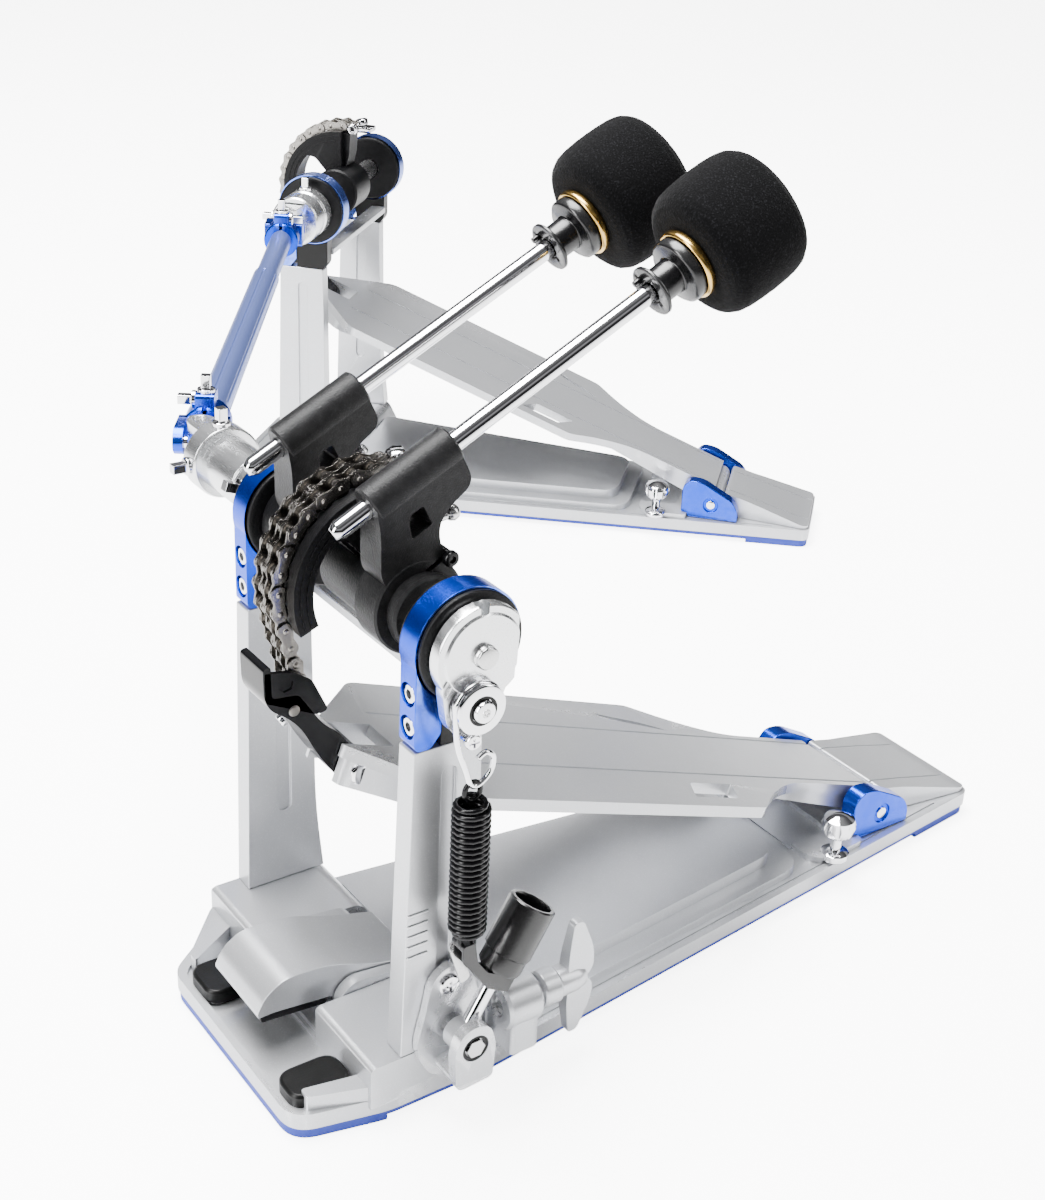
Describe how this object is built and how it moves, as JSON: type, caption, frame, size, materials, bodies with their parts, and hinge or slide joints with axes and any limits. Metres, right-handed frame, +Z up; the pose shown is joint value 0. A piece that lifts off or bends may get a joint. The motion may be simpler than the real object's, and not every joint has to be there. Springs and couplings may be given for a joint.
{
  "type": "double bass drum pedal",
  "caption": "Double bass drum pedal: chain-driven main pedal with felt beaters, linked by a jointed drive shaft to a second pedal for the other foot.",
  "frame": {"origin": "on the floor, under the middle of the main pedal's cam shaft", "axes": "+Z up, +Y towards the drum, +X along the cam shaft towards the second pedal"},
  "size_m": [0.6651, 0.5795, 0.3383],
  "materials": {
    "silver": "satin silver metallic paint",
    "mat_blue": "matt deep blue",
    "pad_black": "soft black",
    "blue": "bright blue anodised",
    "blue_tube": "light blue anodised",
    "casting_black": "textured black powder coat",
    "chrome": "polished",
    "steel": "bright steel",
    "chain": "oiled steel",
    "spring_black": "gloss black",
    "plastic": "moulded black",
    "brass": "polished",
    "felt": "dense black felt"
  },
  "bodies": {
    "frame": {"base_mat": "mat_blue", "base_plate": "silver", "near_rubber_pad": "pad_black", "far_rubber_pad": "pad_black", "near_post": "silver", "far_post": "silver", "near_strap": "blue", "far_strap": "blue", "near_hinge_block": "blue", "far_hinge_block": "blue", "near_bearing_housing": "casting_black", "far_bearing_housing": "casting_black", "heel_plate": "silver", "post_brace": "silver", "hinge_pin": "chrome", "spring_anchor": "silver", "second_base_mat": "mat_blue", "second_frame": "silver", "second_near_strap": "blue", "second_far_strap": "blue", "second_near_hinge_block": "blue", "second_far_hinge_block": "blue"},
    "cam_shaft": {"main_shaft": "steel", "cam": "casting_black", "rocker": "chrome", "near_beater_holder": "casting_black", "chain_on_cam": "chain"},
    "near_beater": {"near_beater_rod": "chrome", "near_beater_washer": "brass", "near_beater_head": "felt"},
    "far_shaft": {"far_sleeve": "steel", "far_beater_holder": "casting_black"},
    "far_beater": {"far_beater_rod": "chrome", "far_beater_washer": "brass", "far_beater_head": "felt"},
    "footboard": {"footboard": "silver"},
    "link_arm": {"link_arm": "casting_black"},
    "chain_link_1": {"chain_link_1": "chain"},
    "chain_link_2": {"chain_link_2": "chain"},
    "chain_link_3": {"chain_link_3": "chain"},
    "chain_drop": {"chain_drop": "chain"},
    "tension_link": {"tension_rod": "chrome", "main_spring": "spring_black"},
    "tension_knob": {"tension_knob": "plastic"},
    "spring_hook": {"spring_hook": "chrome"},
    "clamp_jaw": {"clamp_jaw": "silver"},
    "wing_bolt": {"wing_bolt": "silver"},
    "main_cross": {"main_cross": "blue"},
    "drive_tube": {"drive_tube": "blue_tube"},
    "second_cross": {"second_cross": "blue"},
    "second_shaft": {"second_cam": "casting_black", "second_chain_on_cam": "chain"},
    "second_footboard": {"second_footboard": "silver"},
    "second_link_arm": {"second_link_arm": "casting_black"},
    "second_chain_link_1": {"second_chain_link_1": "chain"},
    "second_chain_link_2": {"second_chain_link_2": "chain"},
    "second_chain_link_3": {"second_chain_link_3": "chain"},
    "second_chain_drop": {"second_chain_drop": "chain"}
  },
  "joints": [
    {"name": "main_shaft_turn", "type": "hinge", "parent": "frame", "child": "cam_shaft", "pos_m": [0, 0, 0.195], "axis": [-1, 0, 0], "range_deg": [0, 62], "stiffness_Nm_per_rad": 0.9, "springref_deg": -28.65},
    {"name": "footboard_hinge", "type": "hinge", "parent": "frame", "child": "footboard", "pos_m": [0, -0.259, 0.022], "axis": [-1, 0, 0], "range_deg": [0, 9.8]},
    {"name": "link_arm_hinge", "type": "hinge", "parent": "footboard", "child": "link_arm", "pos_m": [0, 0.01079, 0.12046], "axis": [1, 0, 0], "range_deg": [0, 29.5]},
    {"name": "chain_link_1_hinge", "type": "hinge", "parent": "cam_shaft", "child": "chain_link_1", "pos_m": [0, 0.02699, 0.22315], "axis": [1, 0, 0], "range_deg": [0, 17.4]},
    {"name": "chain_link_2_hinge", "type": "hinge", "parent": "chain_link_1", "child": "chain_link_2", "pos_m": [0, 0.03559, 0.21095], "axis": [1, 0, 0], "range_deg": [0, 17.4]},
    {"name": "chain_link_3_hinge", "type": "hinge", "parent": "chain_link_2", "child": "chain_link_3", "pos_m": [0, 0.03897, 0.19641], "axis": [1, 0, 0], "range_deg": [0, 17.4]},
    {"name": "chain_drop_hinge", "type": "hinge", "parent": "chain_link_3", "child": "chain_drop", "pos_m": [0, 0.03852, 0.18892], "axis": [1, 0, 0], "range_deg": [0, 17.4]},
    {"name": "tension_rod_hinge", "type": "hinge", "parent": "frame", "child": "tension_link", "pos_m": [-0.076, 0.0032, 0.0375], "axis": [1, 0, 0], "range_deg": [0, 6.7]},
    {"name": "spring_hook_slide", "type": "slide", "parent": "tension_link", "child": "spring_hook", "axis": [0, 0, 1], "range_m": [0, 0.007], "deforming": ["main_spring"]},
    {"name": "tension_knob_turn", "type": "hinge", "parent": "tension_link", "child": "tension_knob", "pos_m": [-0.076, 0.0032, 0.0375], "axis": [0, -0.5075, 0.8616], "continuous": true},
    {"name": "near_beater_height", "type": "slide", "parent": "cam_shaft", "child": "near_beater", "axis": [0, -0.8878, 0.4602], "range_m": [-0.012, 0.008]},
    {"name": "clamp_jaw_hinge", "type": "hinge", "parent": "frame", "child": "clamp_jaw", "pos_m": [0, 0.016, 0.02], "axis": [1, 0, 0], "range_deg": [0, 9]},
    {"name": "wing_bolt_turn", "type": "hinge", "parent": "frame", "child": "wing_bolt", "pos_m": [-0.071, -0.03, 0.039], "axis": [0, 1, 0], "continuous": true},
    {"name": "far_beater_turn", "type": "hinge", "parent": "frame", "child": "far_shaft", "pos_m": [0, 0, 0.195], "axis": [-1, 0, 0], "range_deg": [0, 62], "stiffness_Nm_per_rad": 0.9, "springref_deg": -28.65},
    {"name": "far_beater_height", "type": "slide", "parent": "far_shaft", "child": "far_beater", "axis": [0, -0.8878, 0.4602], "range_m": [-0.012, 0.008]},
    {"name": "main_cross_hinge", "type": "hinge", "parent": "far_shaft", "child": "main_cross", "pos_m": [0.138, 0, 0.195], "axis": [0, 0, 1], "range_deg": [0, 16.5]},
    {"name": "drive_tube_turn", "type": "hinge", "parent": "frame", "child": "drive_tube", "pos_m": [0.138, 0, 0.195], "axis": [-0.8316, 0.5553, 0], "range_deg": [0, 57.6]},
    {"name": "second_shaft_turn", "type": "hinge", "parent": "frame", "child": "second_shaft", "pos_m": [0.4994, -0.2727, 0.195], "axis": [-0.6794, 0.7337, 0], "range_deg": [0, 58.3]},
    {"name": "second_cross_hinge", "type": "hinge", "parent": "second_shaft", "child": "second_cross", "pos_m": [0.4233, -0.19052, 0.195], "axis": [0, 0, -1], "range_deg": [0, 6.4]},
    {"name": "second_footboard_hinge", "type": "hinge", "parent": "frame", "child": "second_footboard", "pos_m": [0.30936, -0.44868, 0.022], "axis": [-0.6794, 0.7337, 0], "range_deg": [0, 9.3]},
    {"name": "second_link_arm_hinge", "type": "hinge", "parent": "second_footboard", "child": "second_link_arm", "pos_m": [0.50732, -0.26537, 0.12046], "axis": [0.6794, -0.7337, 0], "range_deg": [0, 28.6]},
    {"name": "second_chain_link_1_hinge", "type": "hinge", "parent": "second_shaft", "child": "second_chain_link_1", "pos_m": [0.5192, -0.25436, 0.22315], "axis": [0.6794, -0.7337, 0], "range_deg": [0, 16.3]},
    {"name": "second_chain_link_2_hinge", "type": "hinge", "parent": "second_chain_link_1", "child": "second_chain_link_2", "pos_m": [0.52551, -0.24852, 0.21095], "axis": [0.6794, -0.7337, 0], "range_deg": [0, 16.3]},
    {"name": "second_chain_link_3_hinge", "type": "hinge", "parent": "second_chain_link_2", "child": "second_chain_link_3", "pos_m": [0.528, -0.24622, 0.19641], "axis": [0.6794, -0.7337, 0], "range_deg": [0, 16.3]},
    {"name": "second_chain_drop_hinge", "type": "hinge", "parent": "second_chain_link_3", "child": "second_chain_drop", "pos_m": [0.52767, -0.24653, 0.18892], "axis": [0.6794, -0.7337, 0], "range_deg": [0, 16.3]}
  ],
  "couplings": [
    {"joint": "footboard_hinge", "follows": "main_shaft_turn", "ratio": 0.15596},
    {"joint": "link_arm_hinge", "follows": "main_shaft_turn", "ratio": 0.47417},
    {"joint": "chain_link_1_hinge", "follows": "main_shaft_turn", "ratio": 0.2784},
    {"joint": "chain_link_2_hinge", "follows": "main_shaft_turn", "ratio": 0.2784},
    {"joint": "chain_link_3_hinge", "follows": "main_shaft_turn", "ratio": 0.2784},
    {"joint": "chain_drop_hinge", "follows": "main_shaft_turn", "ratio": 0.2784},
    {"joint": "tension_rod_hinge", "follows": "main_shaft_turn", "ratio": 0.10639},
    {"joint": "spring_hook_slide", "follows": "main_shaft_turn", "m_per_rad": 0.006256},
    {"joint": "main_cross_hinge", "follows": "far_beater_turn", "ratio": 0.26339},
    {"joint": "drive_tube_turn", "follows": "far_beater_turn", "ratio": 0.92597},
    {"joint": "second_shaft_turn", "follows": "far_beater_turn", "ratio": 0.93758},
    {"joint": "second_cross_hinge", "follows": "far_beater_turn", "ratio": 0.10097},
    {"joint": "second_footboard_hinge", "follows": "far_beater_turn", "ratio": 0.14703},
    {"joint": "second_link_arm_hinge", "follows": "far_beater_turn", "ratio": 0.45827},
    {"joint": "second_chain_link_1_hinge", "follows": "far_beater_turn", "ratio": 0.26105},
    {"joint": "second_chain_link_2_hinge", "follows": "far_beater_turn", "ratio": 0.26105},
    {"joint": "second_chain_link_3_hinge", "follows": "far_beater_turn", "ratio": 0.26105},
    {"joint": "second_chain_drop_hinge", "follows": "far_beater_turn", "ratio": 0.26105}
  ]
}
